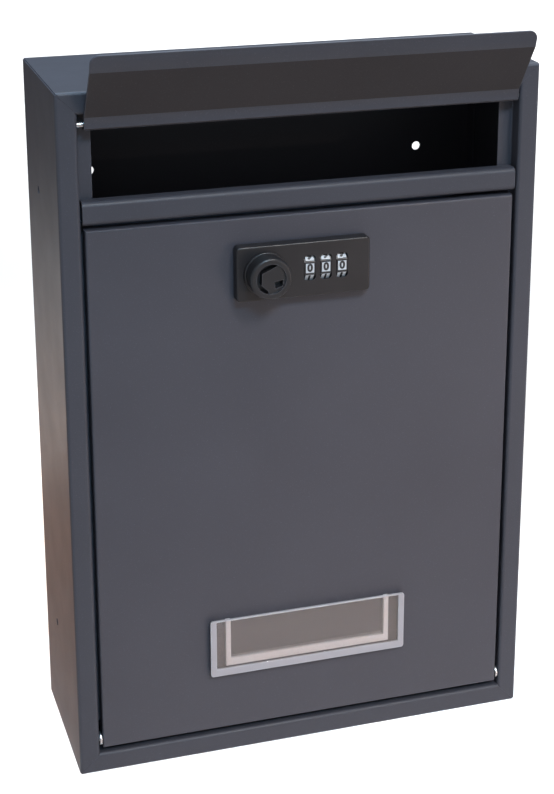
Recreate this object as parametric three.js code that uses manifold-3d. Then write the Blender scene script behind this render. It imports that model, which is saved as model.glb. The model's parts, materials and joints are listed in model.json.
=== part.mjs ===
// Slim wall letter box in folded sheet steel: a case with a mitred front frame, a letter slot
// under a hinged flap, and a bottom-hinged door with a three-wheel combination lock.
// Millimetres, +Z up, front towards -Y, origin at the middle of the back face.

import * as THREE from 'three';
import { mergeVertices } from 'three/addons/utils/BufferGeometryUtils.js';
import Module from 'manifold-3d';

const wasm = await Module();
wasm.setup();

// Driving dimensions
const caseWidth = 217;
const caseHeight = 320;
const caseDepth = 78;
const sheet = 1;
const bend = 1;
const seamGap = 0.3;

const frameFlange = 9.3;
const endFlange = 9.8;
const frameReturn = 7.5;
const stopFlange = 6.7;
const hingeNotch = 7;
const backLip = 10;

const wallHoleX = 80.3;
const wallHoleZ = 106;
const wallHoleRadius = 2.1;
const spotMarkY = -29;
const spotMarkZ = 106.5;
const spotMarkRadius = 1.8;
const spotMarkDepth = 0.5;

const railWidth = 196.8;
const railBottom = 102.2;
const railTop = 112.7;
const railDepth = 6.6;

const doorWidth = 195.2;
const doorBottom = -147.6;
const doorTop = 100.3;
const doorFold = 6.5;
const doorEdge = 1.2;
const doorHingeDepth = 3.3;
const doorHingeZ = -144;
const pinRadius = 1.4;
const pinHeadRadius = 2.2;
const pinHead = 1.6;
const runningGap = 0.3;

const flapWidth = 195;
const flapShift = 1;
const flapAxisDepth = 2.7;
const flapAxisZ = 145.7;
const flapRodRadius = 1.2;
const flapPanelLength = 26.4;
const flapPanelAngle = 54.7;
const flapLipLength = 7.7;
const flapLipAngle = 72.3;
const flapLipCorner = 4;

const plateX = 0.5;
const plateZ = -104.1;
const plateWidth = 94.5;
const plateHeight = 28.4;
const plateThickness = 1.2;
const pocketDepth = 1.6;
const pocketWidth = 79.6;
const pocketFoot = 4.2;
const pocketFloor = 7.8;
const pocketRib = 2.4;

const lockX = -3;
const lockZ = 76.2;
const lockWidth = 61;
const lockHeight = 25;
const lockFront = 5.5;
const lockWall = 1;
const knobX = -17.5;
const knobRadius = 9.4;
const knobLength = 7.2;
const collarRadius = 9.9;
const collarLength = 1.4;
const spindleRadius = 4;
const barrelRadius = 8;
const barrelDepth = 9;
const camLength = 35;
const camWidth = 13;
const camThickness = 2;
const wheelCount = 3;
const wheelFirstX = 2.6;
const wheelPitch = 7.4;
const wheelZ = 0.5;
const wheelRadius = 9;
const wheelWidth = 5;
const wheelFacets = 10;
const wheelAxisDepth = 2.7;
const wheelBore = 4.5;
const sleeveRadius = 4.2;
const axleRadius = 1.2;
const windowWidth = 5.5;
const windowHeight = 11.4;
const housingHalfHeight = 10.8;
const housingWall = 1.2;
const housingDepth = 14;
const leverTravel = 3;

// Paint, metal and plastic
const anthracite = { color: 0x4a5056, roughness: 0.55, metalness: 0.3 };
const zinc = { color: 0xc4c6c8, roughness: 0.35, metalness: 0.9 };
const steel = { color: 0x9a9da0, roughness: 0.4, metalness: 0.9 };
const blackPlastic = { color: 0x2a292b, roughness: 0.45, metalness: 0 };
const clearPlastic = { color: 0xcfc8c0, roughness: 0.1, metalness: 0 };
const wheelSilver = { color: 0xd2d4d5, roughness: 0.35, metalness: 0.6 };

// A three.js geometry as a solid that can be joined or cut
function toSolid(geometry) {
  const plain = geometry.clone();
  plain.deleteAttribute('normal');
  plain.deleteAttribute('uv');
  const merged = mergeVertices(plain, 1e-4);
  const vertProperties = new Float32Array(merged.attributes.position.array);
  const triVerts = new Uint32Array(merged.index.array);
  return new wasm.Manifold(new wasm.Mesh({ numProp: 3, vertProperties, triVerts }));
}

function toGeometry(solid) {
  const mesh = solid.getMesh();
  const geometry = new THREE.BufferGeometry();
  geometry.setAttribute('position', new THREE.BufferAttribute(mesh.vertProperties, 3));
  geometry.setIndex(new THREE.BufferAttribute(mesh.triVerts, 1));
  geometry.computeVertexNormals();
  return geometry;
}

function block(x0, x1, y0, y1, z0, z1) {
  const geometry = new THREE.BoxGeometry(x1 - x0, y1 - y0, z1 - z0);
  geometry.translate((x0 + x1) / 2, (y0 + y1) / 2, (z0 + z1) / 2);
  return toSolid(geometry);
}

// Round bar along X, from x0 to x1
function barX(radius, x0, x1, y, z) {
  const geometry = new THREE.CylinderGeometry(radius, radius, x1 - x0, 20);
  geometry.rotateZ(Math.PI / 2);
  geometry.translate((x0 + x1) / 2, y, z);
  return toSolid(geometry);
}

// Round bar along Y, from y0 to y1
function barY(radius, y0, y1, x, z, sides = 32) {
  const geometry = new THREE.CylinderGeometry(radius, radius, y1 - y0, sides);
  geometry.translate(x, (y0 + y1) / 2, z);
  return toSolid(geometry);
}

// Shape in the X-Z plane pushed from y0 to y1
function pushedY(shape, y0, y1) {
  const geometry = new THREE.ExtrudeGeometry(shape, { depth: y1 - y0, bevelEnabled: false, curveSegments: 6 });
  geometry.rotateX(Math.PI / 2);
  geometry.translate(0, y1, 0);
  return geometry;
}

function roundedRectangle(width, height, radius) {
  const x = width / 2;
  const z = height / 2;
  const shape = new THREE.Shape();
  shape.moveTo(-x + radius, -z);
  shape.lineTo(x - radius, -z);
  shape.absarc(x - radius, -z + radius, radius, -Math.PI / 2, 0);
  shape.lineTo(x, z - radius);
  shape.absarc(x - radius, z - radius, radius, 0, Math.PI / 2);
  shape.lineTo(-x + radius, z);
  shape.absarc(-x + radius, z - radius, radius, Math.PI / 2, Math.PI);
  shape.lineTo(-x, -z + radius);
  shape.absarc(-x + radius, -z + radius, radius, Math.PI, 1.5 * Math.PI);
  return shape;
}

// Plate in the X-Z plane with its front edges rounded over
function softPlate(width, height, corner, edge, front, back) {
  const shape = roundedRectangle(width - 2 * edge, height - 2 * edge, corner);
  const geometry = new THREE.ExtrudeGeometry(shape, {
    depth: back - front,
    bevelThickness: edge,
    bevelSize: edge,
    bevelSegments: 3,
    curveSegments: 4,
  });
  geometry.rotateX(Math.PI / 2);
  geometry.translate(0, back + edge, 0);
  const behind = block(-width, width, back, back + 3 * edge, -height, height);
  return toSolid(geometry).subtract(behind);
}

// Outline of a folded sheet: the corners run along the middle of its thickness
function foldedShape(corners, radius) {
  const points = corners.map(([u, v]) => new THREE.Vector2(u, v));
  const middle = [points[0]];
  for (let i = 1; i < points.length - 1; i += 1) {
    const back = points[i - 1].clone().sub(points[i]).normalize();
    const ahead = points[i + 1].clone().sub(points[i]).normalize();
    const half = Math.acos(back.dot(ahead)) / 2;
    const centre = back.clone().add(ahead).setLength(radius / Math.sin(half)).add(points[i]);
    const start = back.clone().multiplyScalar(radius / Math.tan(half)).add(points[i]).sub(centre);
    const sweep = (Math.PI - 2 * half) * Math.sign(-back.cross(ahead));
    const steps = Math.max(1, Math.round(Math.abs(sweep) / (Math.PI / 8)));
    for (let step = 0; step <= steps; step += 1) {
      const arm = start.clone().rotateAround(new THREE.Vector2(), sweep * step / steps);
      middle.push(arm.add(centre));
    }
  }
  middle.push(points[points.length - 1]);
  const left = [];
  const right = [];
  for (let i = 0; i < middle.length; i += 1) {
    const before = middle[Math.max(i - 1, 0)];
    const after = middle[Math.min(i + 1, middle.length - 1)];
    const along = after.clone().sub(before).normalize();
    const side = new THREE.Vector2(-along.y, along.x).multiplyScalar(sheet / 2);
    left.push(middle[i].clone().add(side));
    right.unshift(middle[i].clone().sub(side));
  }
  return new THREE.Shape([...left, ...right]);
}

// Section in the X-Y plane run along Z, centred
function runZ(shape, length) {
  const geometry = new THREE.ExtrudeGeometry(shape, { depth: length, bevelEnabled: false });
  geometry.translate(0, 0, -length / 2);
  return geometry;
}

// Section in the Y-Z plane run along X, centred
function runX(shape, length) {
  const geometry = runZ(shape, length);
  const x = new THREE.Vector3(1, 0, 0);
  const y = new THREE.Vector3(0, 1, 0);
  const z = new THREE.Vector3(0, 0, 1);
  geometry.applyMatrix4(new THREE.Matrix4().makeBasis(y, z, x));
  return geometry;
}

// Section of one case wall: wall, front flange, return and stop, measured inwards from the outside
function wallSection(flange, stop) {
  const middle = sheet / 2;
  const inner = flange - middle;
  const corners = [
    [middle, 0],
    [middle, -caseDepth + middle],
    [inner, -caseDepth + middle],
    [inner, -caseDepth + frameReturn + middle],
  ];
  if (stop > 0) {
    corners.push([flange + stop, -caseDepth + frameReturn + middle]);
  }
  return corners;
}

// Wedge that cuts one end of a wall at 45 degrees, so that two walls meet in a mitre
function mitreWedge(length) {
  const reach = 30;
  const end = length / 2 - seamGap * Math.SQRT1_2;
  const shape = new THREE.Shape([
    new THREE.Vector2(-2, end + 2),
    new THREE.Vector2(reach, end - reach),
    new THREE.Vector2(reach, end + reach),
    new THREE.Vector2(-2, end + reach),
  ]);
  return toSolid(pushedY(shape, -caseDepth - 5, 5));
}

function sideWall() {
  let wall = toSolid(runZ(foldedShape(wallSection(frameFlange, stopFlange), bend), caseHeight));
  const wedge = mitreWedge(caseHeight);
  wall = wall.subtract(wedge).subtract(wedge.mirror([0, 0, 1]));
  for (const z of [spotMarkZ, -spotMarkZ]) {
    wall = wall.subtract(barX(spotMarkRadius, -1, spotMarkDepth, spotMarkY, z));
  }
  const rodY = -caseDepth + flapAxisDepth;
  const pinY = -caseDepth + doorHingeDepth;
  const stopY = -caseDepth + frameReturn;
  const notchTop = doorHingeZ + hingeNotch;
  wall = wall.subtract(block(frameFlange, 20, stopY - 1, stopY + 2, -caseHeight / 2, notchTop));
  wall = wall.subtract(barX(flapRodRadius + runningGap, 4, 14, rodY, flapAxisZ));
  return wall.subtract(barX(pinRadius + runningGap, 4, 14, pinY, doorHingeZ));
}

function endWall() {
  const section = wallSection(endFlange, 0).map(([inward, y]) => [y, inward]);
  const wall = toSolid(runX(foldedShape(section, bend), caseWidth));
  const wedge = mitreWedge(caseWidth).transform(turnToX());
  return wall.subtract(wedge).subtract(wedge.mirror([1, 0, 0]));
}

// Column-major transform that swaps X and Z, so a wedge made for a side wall fits an end wall
function turnToX() {
  const swap = new THREE.Matrix4().set(0, 0, 1, 0, 0, -1, 0, 0, 1, 0, 0, 0, 0, 0, 0, 1);
  swap.premultiply(new THREE.Matrix4().makeTranslation(0, -caseDepth, 0));
  return swap.elements;
}

function backPanel() {
  const x = caseWidth / 2 - sheet - seamGap;
  const z = caseHeight / 2 - sheet - seamGap;
  let panel = block(-x, x, -backLip, 0, -z, z);
  panel = panel.subtract(block(-x + sheet, x - sheet, -backLip - 1, -sheet, -z + sheet, z - sheet));
  for (const holeX of [-wallHoleX, wallHoleX]) {
    for (const holeZ of [-wallHoleZ, wallHoleZ]) {
      panel = panel.subtract(barY(wallHoleRadius, -3, 2, holeX, holeZ, 24));
    }
  }
  return toGeometry(panel);
}

function slotRail() {
  const middle = sheet / 2;
  const front = -caseDepth + 0.2 + middle;
  const corners = [
    [-caseDepth + railDepth, railBottom + middle],
    [front, railBottom + middle],
    [front, railTop - middle],
    [-caseDepth + railDepth, railTop - middle],
  ];
  return runX(foldedShape(corners, bend), railWidth);
}

// Flap, fully open: a channel round the rod, the panel and the turned lip
function flapSheet() {
  const channel = flapRodRadius + 0.2 + sheet / 2;
  const panelAngle = THREE.MathUtils.degToRad(flapPanelAngle);
  const lipAngle = THREE.MathUtils.degToRad(flapLipAngle);
  const panelStart = new THREE.Vector2(-channel - 0.7, 3.5);
  const panelEnd = new THREE.Vector2(-Math.cos(panelAngle), Math.sin(panelAngle))
    .multiplyScalar(flapPanelLength).add(panelStart);
  const lipRun = new THREE.Vector2(-Math.cos(lipAngle), Math.sin(lipAngle));
  const lipEnd = lipRun.clone().multiplyScalar(flapLipLength).add(panelEnd);
  const corners = [[channel, 1.2], [channel, -channel], [-channel, -channel]];
  for (const point of [panelStart, panelEnd, lipEnd]) {
    corners.push([point.x, point.y]);
  }
  let flap = toSolid(runX(foldedShape(corners, bend * 0.7), flapWidth));

  const corner = new THREE.Shape();
  corner.moveTo(1, 1);
  corner.lineTo(-flapLipCorner, 1);
  corner.lineTo(-flapLipCorner, 0);
  corner.absarc(-flapLipCorner, -flapLipCorner, flapLipCorner, Math.PI / 2, 0, true);
  corner.lineTo(1, -flapLipCorner);
  for (const side of [1, -1]) {
    const cutter = new THREE.ExtrudeGeometry(corner, { depth: 8, bevelEnabled: false });
    cutter.translate(0, 0, -4);
    cutter.rotateX(lipAngle);
    cutter.translate(flapWidth / 2, lipEnd.x, lipEnd.y);
    const solid = toSolid(cutter);
    flap = flap.subtract(side === 1 ? solid : solid.mirror([1, 0, 0]));
  }
  return toGeometry(flap);
}

function doorPanel() {
  const height = doorTop - doorBottom;
  const half = height / 2;
  let door = softPlate(doorWidth, height, 0.5, doorEdge, 0, doorFold);
  const x = doorWidth / 2 - sheet;
  door = door.subtract(block(-x, x, sheet, doorFold + 5, -half + sheet, half - sheet));
  door = door.translate([0, 0, (doorTop + doorBottom) / 2]);
  for (const side of [-1, 1]) {
    const from = side * doorWidth / 2 - 4;
    const bore = barX(pinRadius + runningGap, from, from + 8, doorHingeDepth, doorHingeZ);
    door = door.subtract(bore);
  }
  const left = lockX + wheelFirstX - wheelWidth / 2 - 1 - housingWall - runningGap;
  const right = left + (wheelCount - 1) * wheelPitch + wheelWidth + 2 * (1 + housingWall + runningGap);
  const high = housingHalfHeight + runningGap;
  const mid = lockZ + wheelZ;
  door = door.subtract(block(left, right, -1, 3, mid - high, mid + high));
  door = door.subtract(barY(barrelRadius + runningGap, -1, 3, lockX + knobX, lockZ));
  return toGeometry(door.subtract(barY(2, -1, 3, lockX + 26.5, lockZ, 16)));
}

// Rivet that a hinge turns on: a head inside the door and a shank out through the frame
function hingePin() {
  const head = barX(pinHeadRadius, 0, pinHead, 0, 0);
  return toGeometry(head.add(barX(pinRadius, 1, 8.5, 0, 0)));
}

function ring(outer, inner, length, sides = 16) {
  const shape = new THREE.Shape();
  shape.absarc(0, 0, outer, 0, 2 * Math.PI);
  const hole = new THREE.Path();
  hole.absarc(0, 0, inner, 0, 2 * Math.PI, true);
  shape.holes.push(hole);
  const geometry = new THREE.ExtrudeGeometry(shape, { depth: length, bevelEnabled: false, curveSegments: sides });
  geometry.translate(0, 0, -length / 2);
  return geometry;
}

// Clear pocket for a name card: a front plate on a U-shaped rib, open at the top
function nameplatePocket() {
  const half = plateHeight / 2;
  const front = -pocketDepth - plateThickness - seamGap;
  const back = -seamGap;
  let pocket = softPlate(plateWidth, plateHeight, 1.2, 0.8, front, back - pocketDepth);
  const outer = pocketWidth / 2;
  const foot = -half + pocketFoot;
  const floor = -half + pocketFloor;
  const rib = block(-outer, outer, back - pocketDepth - 0.2, back, foot, half - 0.6);
  const inner = outer - pocketRib;
  const room = block(-inner, inner, back - pocketDepth - 0.3, back + 1, floor, half + 2);
  const cut = block(-inner, inner, back - pocketDepth, back + 1, floor, half + 2);
  pocket = pocket.add(rib.subtract(room)).subtract(cut);
  return toGeometry(pocket);
}

// Cover of the lock: a shallow hollow box with a window over each wheel
function lockCover() {
  let cover = softPlate(lockWidth, lockHeight, 1.5, 1, -lockFront, -seamGap);
  const left = wheelFirstX - wheelWidth / 2 - 1;
  const right = left + (wheelCount - 1) * wheelPitch + wheelWidth + 2;
  const high = wheelRadius + 0.8;
  cover = cover.subtract(block(left, right, -lockFront + lockWall, 1, wheelZ - high, wheelZ + high));
  for (let i = 0; i < wheelCount; i += 1) {
    const x = wheelFirstX + i * wheelPitch;
    const w = windowWidth / 2;
    const h = windowHeight / 2;
    cover = cover.subtract(block(x - w, x + w, -lockFront - 1, 0, wheelZ - h, wheelZ + h));
  }
  cover = cover.subtract(barY(spindleRadius + runningGap, -lockFront - 1, 1, knobX, 0));
  cover = cover.subtract(barY(barrelRadius + runningGap, -4, 1, knobX, 0));
  return toGeometry(cover.subtract(barY(1.7, -4, 1, 26.5, 0, 16)));
}

// Open box behind the door that carries the wheels on their axle
function lockHousing() {
  const left = wheelFirstX - wheelWidth / 2 - 1;
  const right = left + (wheelCount - 1) * wheelPitch + wheelWidth + 2;
  const wall = housingWall;
  const high = housingHalfHeight;
  let housing = block(left - wall, right + wall, 0.1, housingDepth, wheelZ - high, wheelZ + high);
  const inside = high - wall;
  housing = housing.subtract(
    block(left, right, -1, housingDepth - wall, wheelZ - inside, wheelZ + inside),
  );
  const bore = barX(axleRadius + runningGap, left - 3, right + 3, wheelAxisDepth, wheelZ);
  const middle = (left + right) / 2;
  const slot = block(middle - 3, middle + 3, housingDepth - 3, housingDepth + 1, 7.2, 9.4);
  return toGeometry(housing.subtract(bore).subtract(slot));
}

// Ten-sided number wheel, one flat for each figure
function numberWheel() {
  const step = 2 * Math.PI / wheelFacets;
  const shape = new THREE.Shape();
  for (let i = 0; i < wheelFacets; i += 1) {
    const angle = (i + 0.5) * step;
    const y = wheelRadius * Math.cos(angle);
    const z = wheelRadius * Math.sin(angle);
    shape[i === 0 ? 'moveTo' : 'lineTo'](y, z);
  }
  shape.closePath();
  const bore = new THREE.Path();
  bore.absarc(0, 0, wheelBore, 0, 2 * Math.PI, true);
  shape.holes.push(bore);
  return runX(shape, wheelWidth);
}

// Code sleeve inside a wheel, with the notch that lets the spindle turn
function codeSleeve() {
  const geometry = ring(sleeveRadius, axleRadius + runningGap, wheelPitch - 1.2);
  geometry.rotateY(Math.PI / 2);
  const notch = block(-wheelPitch, wheelPitch, sleeveRadius - 1.1, sleeveRadius + 1, -0.9, 0.9);
  return toGeometry(toSolid(geometry).subtract(notch));
}

// Leaf spring with one finger behind each wheel
function detentSpring() {
  const left = wheelFirstX - wheelWidth / 2;
  const right = left + (wheelCount - 1) * wheelPitch + wheelWidth;
  const front = wheelAxisDepth + wheelRadius + 0.4;
  let spring = block(left, right, front, front + 0.4, -6, 6);
  for (let i = 1; i < wheelCount; i += 1) {
    const x = wheelFirstX + (i - 0.5) * wheelPitch;
    spring = spring.subtract(block(x - 1, x + 1, front - 1, front + 2, -3, 7));
  }
  return toGeometry(spring);
}

// Turning knob: a rim round a recess with a raised grip across it
function knobBody() {
  const back = -lockFront - collarLength - 0.6;
  const front = back - knobLength;
  let knob = barY(knobRadius, front, back, 0, 0, 48);
  knob = knob.subtract(barY(knobRadius - 1.6, front - 1, front + 3.2, 0, 0, 48));
  const grip = block(-knobRadius + 1, knobRadius - 1, front + 0.4, front + 4, -1.8, 1.8);
  return toGeometry(knob.add(grip).subtract(barY(spindleRadius + 0.3, back - 2.5, back + 1, 0, 0)));
}

// Spindle from the knob to the cam: round in the barrel, square in the cam, tapped at the end
function spindleBar() {
  const front = -lockFront - collarLength - 2.8;
  let spindle = barY(spindleRadius, front, barrelDepth + 0.2, 0, 0, 24);
  spindle = spindle.add(block(-2.75, 2.75, barrelDepth, 11.5, -2.75, 2.75));
  return toGeometry(spindle.subtract(barY(1.8, 6, 13, 0, 0, 16)));
}

// Cam that swings up behind the slot rail when the lock is closed
function camPlate() {
  const half = camWidth / 2;
  const shape = new THREE.Shape();
  shape.absarc(0, 0, half, -Math.PI / 2, Math.PI / 2);
  shape.lineTo(-camLength + 2, half - 1);
  shape.absarc(-camLength + 2, half - 3, 2, Math.PI / 2, Math.PI);
  shape.absarc(-camLength + 2, -half + 3, 2, Math.PI, 1.5 * Math.PI);
  shape.closePath();
  const back = barrelDepth + 0.3 + camThickness;
  const plate = toSolid(pushedY(shape, back - camThickness, back));
  return toGeometry(plate.subtract(block(-3.05, 3.05, back - 5, back + 1, -3.05, 3.05)));
}

function camScrew() {
  return toGeometry(barY(3.8, 12.8, 15, 0, 0, 6).add(barY(1.5, 7, 13, 0, 0, 16)));
}

// Hexagonal nut that clamps the lock to the door from inside
function barrelNut() {
  const nut = barY(12.4, sheet + seamGap, sheet + seamGap + 3, 0, 0, 6);
  return toGeometry(nut.subtract(barY(barrelRadius + runningGap, -1, 6, 0, 0)));
}

function lockScrew() {
  return toGeometry(barY(3.2, 1.4, 3.2, 0, 0, 20).add(barY(1.4, -3.6, 2, 0, 0, 16)));
}

// Small slider on the back of the lock that frees the wheels so that the code can be changed
function resetLever() {
  const stem = block(-1.2, 1.2, housingDepth - 1.1, housingDepth + 0.6, -0.7, 0.7);
  return toGeometry(stem.add(block(-2.6, 2.6, housingDepth + 0.4, housingDepth + 1.8, -1.4, 1.4)));
}

function named(name, geometry, look, x = 0, y = 0, z = 0) {
  const mesh = new THREE.Mesh(geometry, new THREE.MeshStandardMaterial(look));
  mesh.name = name;
  mesh.position.set(x, y, z);
  return mesh;
}

// Lengthwise ring turned so that its axis lies along Y or X
function turned(geometry, axis) {
  if (axis === 'x') {
    geometry.rotateY(Math.PI / 2);
  } else {
    geometry.rotateX(Math.PI / 2);
  }
  return geometry;
}

function buildCase() {
  const group = new THREE.Group();
  const side = sideWall();
  const end = endWall();
  const right = side.mirror([1, 0, 0]);
  group.add(named('left_side', toGeometry(side), anthracite, -caseWidth / 2));
  group.add(named('right_side', toGeometry(right), anthracite, caseWidth / 2));
  group.add(named('bottom_panel', toGeometry(end), anthracite, 0, 0, -caseHeight / 2));
  group.add(named('top_panel', toGeometry(end.mirror([0, 0, 1])), anthracite, 0, 0, caseHeight / 2));
  group.add(named('back_panel', backPanel(), anthracite));
  group.add(named('slot_rail', slotRail(), anthracite));
  const rodEnd = caseWidth / 2 - sheet - seamGap;
  const rod = toGeometry(barX(flapRodRadius, -rodEnd, rodEnd, 0, 0));
  group.add(named('flap_rod', rod, steel, 0, -caseDepth + flapAxisDepth, flapAxisZ));
  const pinStart = doorWidth / 2 - sheet - seamGap - pinHead;
  const washerX = (doorWidth / 2 + caseWidth / 2 - frameFlange) / 2;
  for (const [name, turn] of [['left', -1], ['right', 1]]) {
    const pin = named(`hinge_pin_${name}`, hingePin(), zinc);
    pin.position.set(turn * pinStart, -caseDepth + doorHingeDepth, doorHingeZ);
    pin.rotation.z = turn === 1 ? 0 : Math.PI;
    group.add(pin);
    const washer = turned(ring(3.1, pinRadius + runningGap, 1, 12), 'x');
    const y = -caseDepth + doorHingeDepth;
    group.add(named(`hinge_washer_${name}`, washer, zinc, turn * washerX, y, doorHingeZ));
  }
  return group;
}

function buildLock() {
  const lock = new THREE.Group();
  lock.position.set(lockX, 0, lockZ);
  lock.add(named('lock_cover', lockCover(), blackPlastic));
  lock.add(named('lock_housing', lockHousing(), blackPlastic));
  const left = wheelFirstX - wheelWidth / 2 - 1 - housingWall;
  const right = left + (wheelCount - 1) * wheelPitch + wheelWidth + 2 + 2 * housingWall;
  const axle = toGeometry(barX(axleRadius, left, right, 0, 0));
  lock.add(named('wheel_axle', axle, steel, 0, wheelAxisDepth, wheelZ));
  for (let i = 0; i < wheelCount; i += 1) {
    const x = wheelFirstX + i * wheelPitch;
    lock.add(named(`number_wheel_${i + 1}`, numberWheel(), wheelSilver, x, wheelAxisDepth, wheelZ));
    lock.add(named(`code_sleeve_${i + 1}`, codeSleeve(), steel, x, wheelAxisDepth, wheelZ));
  }
  lock.add(named('detent_spring', detentSpring(), steel, 0, 0, wheelZ));
  lock.add(named('reset_lever', resetLever(), blackPlastic, (left + right) / 2 - leverTravel / 2, 0, 8.3));
  lock.add(named('lock_screw', lockScrew(), zinc, 26.5));

  const turning = new THREE.Group();
  turning.position.x = knobX;
  const barrel = turned(ring(barrelRadius, spindleRadius + runningGap, barrelDepth + 3.7, 16), 'y');
  turning.add(named('lock_barrel', barrel, zinc, 0, (barrelDepth - 3.7) / 2));
  turning.add(named('barrel_nut', barrelNut(), zinc));
  const collar = turned(ring(collarRadius, spindleRadius + runningGap, collarLength, 24), 'y');
  turning.add(named('knob_collar', collar, blackPlastic, 0, -lockFront - 0.3 - collarLength / 2));
  turning.add(named('knob', knobBody(), blackPlastic));
  turning.add(named('spindle', spindleBar(), zinc));
  turning.add(named('cam', camPlate(), zinc));
  turning.add(named('cam_washer', turned(ring(5.2, 1.9, 0.7, 12), 'y'), zinc, 0, 12.15));
  turning.add(named('cam_screw', camScrew(), zinc));
  lock.add(turning);
  return lock;
}

function buildDoor() {
  const door = new THREE.Group();
  door.position.y = -caseDepth;
  door.add(named('door', doorPanel(), anthracite));
  door.add(named('nameplate_holder', nameplatePocket(), clearPlastic, plateX, 0, plateZ));
  door.add(buildLock());
  return door;
}

const box = new THREE.Group();
box.add(buildCase());
box.add(named('flap', flapSheet(), anthracite, flapShift, -caseDepth + flapAxisDepth, flapAxisZ));
box.add(buildDoor());

export default box;
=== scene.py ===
# Slim wall letter box: folded sheet case, flap over the slot, door with a number lock.
import json
import math

import bpy
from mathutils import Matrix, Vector

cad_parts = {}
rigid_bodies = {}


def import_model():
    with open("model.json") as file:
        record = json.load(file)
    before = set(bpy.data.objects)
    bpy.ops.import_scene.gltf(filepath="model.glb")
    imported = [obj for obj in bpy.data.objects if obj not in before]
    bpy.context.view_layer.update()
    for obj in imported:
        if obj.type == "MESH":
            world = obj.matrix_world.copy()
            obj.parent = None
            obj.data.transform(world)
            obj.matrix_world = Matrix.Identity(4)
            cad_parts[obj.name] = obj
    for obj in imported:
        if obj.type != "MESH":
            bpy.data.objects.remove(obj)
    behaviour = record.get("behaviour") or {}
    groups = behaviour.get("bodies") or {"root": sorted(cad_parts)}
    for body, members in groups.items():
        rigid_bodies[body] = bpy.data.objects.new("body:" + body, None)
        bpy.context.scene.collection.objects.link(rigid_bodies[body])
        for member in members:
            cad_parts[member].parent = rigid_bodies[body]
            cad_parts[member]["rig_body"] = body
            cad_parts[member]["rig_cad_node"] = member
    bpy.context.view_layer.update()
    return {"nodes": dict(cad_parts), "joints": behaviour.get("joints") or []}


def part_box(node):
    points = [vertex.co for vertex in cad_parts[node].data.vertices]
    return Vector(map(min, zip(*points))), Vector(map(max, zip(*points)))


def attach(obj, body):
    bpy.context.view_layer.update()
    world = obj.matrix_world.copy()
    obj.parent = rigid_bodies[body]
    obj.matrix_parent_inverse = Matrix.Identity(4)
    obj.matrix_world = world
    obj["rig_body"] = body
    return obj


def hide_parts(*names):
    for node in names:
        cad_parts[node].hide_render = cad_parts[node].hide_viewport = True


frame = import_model()

# ---------------------------------------------------------------- view
# A long lens looks down on the front from the left, as a buyer standing before the box would.
# A small shift of the lens brings the box to the middle of the picture.
camera_data = bpy.data.cameras.new("viewer")
camera_data.lens = 81.53
camera_data.sensor_width = 36
camera_data.shift_x = -0.044
camera_data.shift_y = -0.185
camera_data.clip_start = 0.01
viewer = bpy.data.objects.new("viewer", camera_data)
viewer.location = (-0.22977, -0.79317, 0.31700)
viewer.rotation_euler = [math.radians(a) for a in (72.711, -0.180, -17.923)]
bpy.context.scene.collection.objects.link(viewer)
bpy.context.scene.camera = viewer

# ---------------------------------------------------------------- room
# A pale matt floor well below the open door, under an even pale sky and seven soft lamps: a key,
# a cool and a low one in front, one above, two wide ones for the floor and a warm one at the left.
floor_level = -0.27
bpy.ops.object.select_all(action="DESELECT")
bpy.ops.mesh.primitive_plane_add(size=14, location=(0, 2, floor_level))
floor = bpy.context.object
floor.name = "floor"
floor_paint = bpy.data.materials.new("pale_floor")
floor_paint.use_nodes = True
floor_bsdf = floor_paint.node_tree.nodes["Principled BSDF"]
floor_bsdf.inputs["Base Color"].default_value = (0.88, 0.88, 0.88, 1)
floor_bsdf.inputs["Roughness"].default_value = 0.9
floor.data.materials.append(floor_paint)

# Only the shine of the paint sees these: a dark curtain behind, a brown mat at the left and a
# pale warm one in front
mat_level = floor_level + 0.002
for name, tone, width, length, place, tip in (
    ("curtain", (0.035, 0.04, 0.055), 2.8, 1.6, (0, 1.2, 0.5), 90),
    ("mat_left", (0.30, 0.17, 0.10), 0.9, 0.45, (-0.6, 0.28, mat_level), 0),
    ("mat_front", (0.84, 0.64, 0.55), 1.2, 0.55, (0.2, -0.42, mat_level), 0),
):
    bpy.ops.mesh.primitive_plane_add(size=1, location=place, rotation=(math.radians(tip), 0, 0))
    card = bpy.context.object
    card.name = name
    card.scale = (width, length, 1)
    bpy.ops.object.transform_apply(location=True, rotation=True, scale=True)
    cloth = bpy.data.materials.new(name + "_cloth")
    cloth.use_nodes = True
    cloth_bsdf = cloth.node_tree.nodes["Principled BSDF"]
    cloth_bsdf.inputs["Base Color"].default_value = (*tone, 1)
    cloth_bsdf.inputs["Roughness"].default_value = 0.9
    card.data.materials.append(cloth)
    card.visible_camera = False
    card.visible_diffuse = False
    card.visible_transmission = False
    card.visible_shadow = False

sky = bpy.data.worlds.new("soft_sky")
sky.use_nodes = True
sky_light = sky.node_tree.nodes["Background"]
sky_light.inputs["Color"].default_value = (0.92, 0.96, 1.0, 1)
sky_light.inputs["Strength"].default_value = 0.40
bpy.context.scene.world = sky
bpy.context.scene.view_settings.view_transform = "Standard"

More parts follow.
